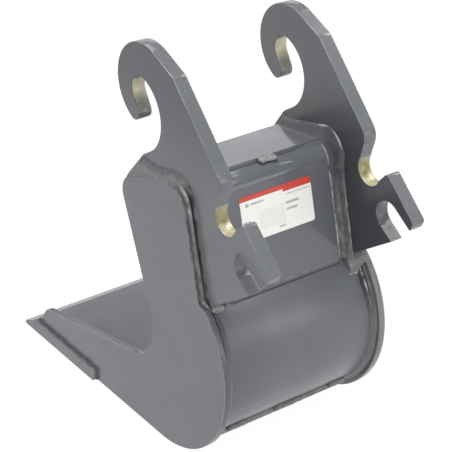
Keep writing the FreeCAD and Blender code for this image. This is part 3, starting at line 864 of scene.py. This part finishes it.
def blade_bead(side, sign):
    """Bead between the side plate and the top of the blade, turned down its rear end.

    Its height is uneven, with a dip where two runs meet. Painted shade darkens its upper part,
    against the side plate, and a painted highlight and painted glint line its toe.
    """
    blade_high = node_box("cutting_edge")[1]
    corner = (BLADE_REAR, blade_high[2] - GROUND)
    rise = 5.5 * MM
    level = straight((side_low[1], corner[1]), corner, ripple_step())
    turns = np.linspace(0, math.pi / 2, 36)
    down = straight(corner, (BLADE_REAR, 0), ripple_step())
    path = np.concatenate([level, np.tile(corner, (len(turns), 1)), down])
    up = np.zeros((len(path), 3))
    lean = np.concatenate([np.zeros(len(level)), turns, np.full(len(down), math.pi / 2)])
    up[:, 1], up[:, 2] = np.sin(lean), np.cos(lean)
    steps = np.linalg.norm(np.diff(path, axis=0), axis=1) + np.diff(lean) * rise / 2
    along = np.concatenate([[0], np.cumsum(steps)])
    across = np.tile(np.array([sign, 0.0, 0.0]), (len(path), 1))
    uneven = 1 - 0.35 * bump(along / MM, 64, 76) + 0.25 * wave(along, (14 * MM, 27 * MM), 72)
    # Painted shade toward the side plate, painted highlight and painted glint at the toe
    piece = laid_bead("blade_bead_" + side, space(sign * SIDE_OUTER_X, path), across, up, along,
                      spread=(blade_high[0] - SIDE_OUTER_X) * 0.95, rise=rise * uneven, seed=71,
                      bulge=0.1, ripple=0.02 * MM, tapers=(3 * MM, 3 * MM), wander=0.03,
                      dark=((0.3, 1.1, 0.75),), bright=((-0.2, 0.3, 0.8),), glint=((-0.1, 0.1, 0.5),))
    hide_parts("blade_weld_" + side)


# Plates

def soften_edges(plate, width):
    """Round the plate's sharp edges: merge the facets, drop flat ones and bevel by angle."""
    weld = plate.modifiers.new("join", "WELD")
    weld.merge_threshold = 0.01 * MM
    flat = plate.modifiers.new("flatten", "DECIMATE")
    flat.decimate_type = "DISSOLVE"
    flat.angle_limit = math.radians(0.5)
    bevel = plate.modifiers.new("round", "BEVEL")
    bevel.width = width
    bevel.segments = 2
    bevel.limit_method = "ANGLE"
    bevel.angle_limit = math.radians(35)
    bevel.harden_normals = True


def finish_node(node, material):
    """Give a CAD node its only material."""
    node.data.materials.clear()
    node.data.materials.append(material)


def dress_plates():
    """Paint the CAD plates and round their edges."""
    for name, paint in (("side_plate", SIDE_PAINT), ("hitch_ear", EAR_PAINT)):
        for side in ("right", "left"):
            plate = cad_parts[name + "_" + side]
            finish_node(plate, paint)
            soften_edges(plate, 0.9 * MM)
    paints = {"shell_plate": SHELL_PAINT, "rear_plate": GLOSS_PAINT, "top_plate": GLOSS_PAINT,
              "heel_plate": HEEL_PAINT, "cutting_edge": PLATE_PAINT}
    for name, paint in paints.items():
        finish_node(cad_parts[name], paint)
        soften_edges(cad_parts[name], 0.6 * MM)
    finish_node(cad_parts["data_label"], LABEL_PRINT)


# Studio

def pale_floor():
    """White floor that glows, as a lit studio table does, so that its shadows stay faint."""
    material, place = new_finish("pale_floor")
    inputs = {"Base Color": (0.07, 0.07, 0.07, 1), "Roughness": 0.9, "Specular IOR Level": 0.0,
              "Emission Color": (1, 1, 1, 1), "Emission Strength": 0.96}
    surface = place.node("ShaderNodeBsdfPrincipled", {}, inputs)
    place.node("ShaderNodeOutputMaterial", {}, {"Surface": surface})
    return material


def floor():
    """Plain pale floor, just clear of the bucket's underside."""
    half = 6.0
    level = GROUND - 0.3 * MM
    mesh = bpy.data.meshes.new("floor")
    corners = [(x * half, y * half, level) for x, y in ((-1, -1), (1, -1), (1, 1), (-1, 1))]
    mesh.from_pydata(corners, [], [(0, 1, 2, 3)])
    mesh.materials.append(pale_floor())
    ground = bpy.data.objects.new("floor", mesh)
    bpy.context.scene.collection.objects.link(ground)


# Softboxes round the bucket: name, place, width, height, brightness; all point at its middle
LIGHT_AIM = (0, 0, -0.2)
SURROUNDINGS_BRIGHTNESS = 0.06
LIGHTS = (
    ("over_front", (-0.2, -1.1, 1.9), 1.2, 1.0, 4.7),
    ("overhead", (0.0, 0.0, 2.2), 1.2, 1.0, 8.5),
    ("left_high", (-1.7, 0.1, 1.3), 1.2, 1.0, 6.8),
    ("right_low", (2.0, 0.0, 0.0), 0.72, 0.6, 8.6),
    ("rear_high", (0.1, 1.5, 1.5), 1.2, 1.0, 4.1),
    ("rear_left_high", (-1.2, 1.7, 1.0), 1.2, 1.0, 0.2),
    ("rear_left_middle", (-0.5, 1.8, 0.24), 1.5, 0.8, 1.3),
    ("rear_left_low", (-0.75, 1.9, 0.12), 1.1, 0.45, 2.1),
    ("rear_low", (0.4, 2.1, 0.1), 0.72, 0.6, 2.0),
    ("front", (0.0, -1.9, 1.0), 1.2, 1.0, 2.3),
    ("front_left_low", (-1.1, -1.7, 0.35), 0.96, 0.8, 1.1),
    ("right_front_low", (1.3, -1.5, -0.1), 0.6, 0.5, 2.2),
    ("right_front_middle", (1.4, -1.5, 0.5), 0.9, 0.8, 1.2),
    ("edge_light", (1.75, 0.55, 0.85), 0.5, 0.5, 3.0),
)


def softbox(name, place, aim, width, height, brightness):
    """Rectangular area light at place, pointing at aim; its face is brightness times white."""
    lamp = bpy.data.lights.new(name, "AREA")
    lamp.shape = "RECTANGLE"
    lamp.size, lamp.size_y = width, height
    lamp.energy = brightness * math.pi * width * height  # pi: the light of a matt white face
    light = bpy.data.objects.new(name, lamp)
    bpy.context.scene.collection.objects.link(light)
    way = Vector(aim) - Vector(place)
    light.matrix_world = Matrix.Translation(place) @ way.to_track_quat("-Z", "Y").to_matrix().to_4x4()


def surroundings(brightness):
    """Even white surroundings."""
    world = bpy.data.worlds.new("white_studio")
    world.use_nodes = True
    background = world.node_tree.nodes["Background"]
    background.inputs["Color"].default_value = (1, 1, 1, 1)
    background.inputs["Strength"].default_value = brightness
    bpy.context.scene.world = world


def camera():
    """Camera at the photograph's angle: round the target, then rolled about its own axis."""
    azimuth, elevation = math.radians(CAMERA_AZIMUTH), math.radians(CAMERA_ELEVATION)
    level = math.cos(elevation)
    back = Vector((math.sin(azimuth) * level, math.cos(azimuth) * level, math.sin(elevation)))
    lens = bpy.data.cameras.new("camera")
    lens.lens = CAMERA_LENS
    lens.sensor_width = CAMERA_SENSOR
    lens.clip_end = 50
    eye = bpy.data.objects.new("camera", lens)
    bpy.context.scene.collection.objects.link(eye)
    turn = back.to_track_quat("Z", "Y").to_matrix().to_4x4()
    roll = Matrix.Rotation(math.radians(CAMERA_ROLL), 4, "Z")
    place = Vector(CAMERA_TARGET) + back * CAMERA_DISTANCE
    eye.matrix_world = Matrix.Translation(place) @ turn @ roll
    bpy.context.scene.camera = eye


camera()
PLATE_PAINT = plate_paint("plate_paint", 0.18)
GLOSS_PAINT = plate_paint("gloss_paint", 0.06)
SHELL_PAINT = plate_paint("shell_paint", 0.25)
HEEL_PAINT = plate_paint("heel_paint", 0.25, lightening=0.85)
SIDE_PAINT = side_paint()
EAR_PAINT = ear_paint()
WELD = weld_paint()
LABEL_PRINT = label_print()
dress_plates()
for side, sign in (("right", 1), ("left", -1)):
    ear_bead(side, sign)
    box_bead(side, sign)
    shell_bead(side, sign)
    foot_bead(side)
    blade_bead(side, sign)
seam_bead()
top_stitch()
heel_stitches()
floor_bead()
floor()
surroundings(SURROUNDINGS_BRIGHTNESS)
for name, place, width, height, brightness in LIGHTS:
    softbox(name, place, LIGHT_AIM, width, height, brightness)
bpy.context.scene.view_settings.view_transform = "Standard"
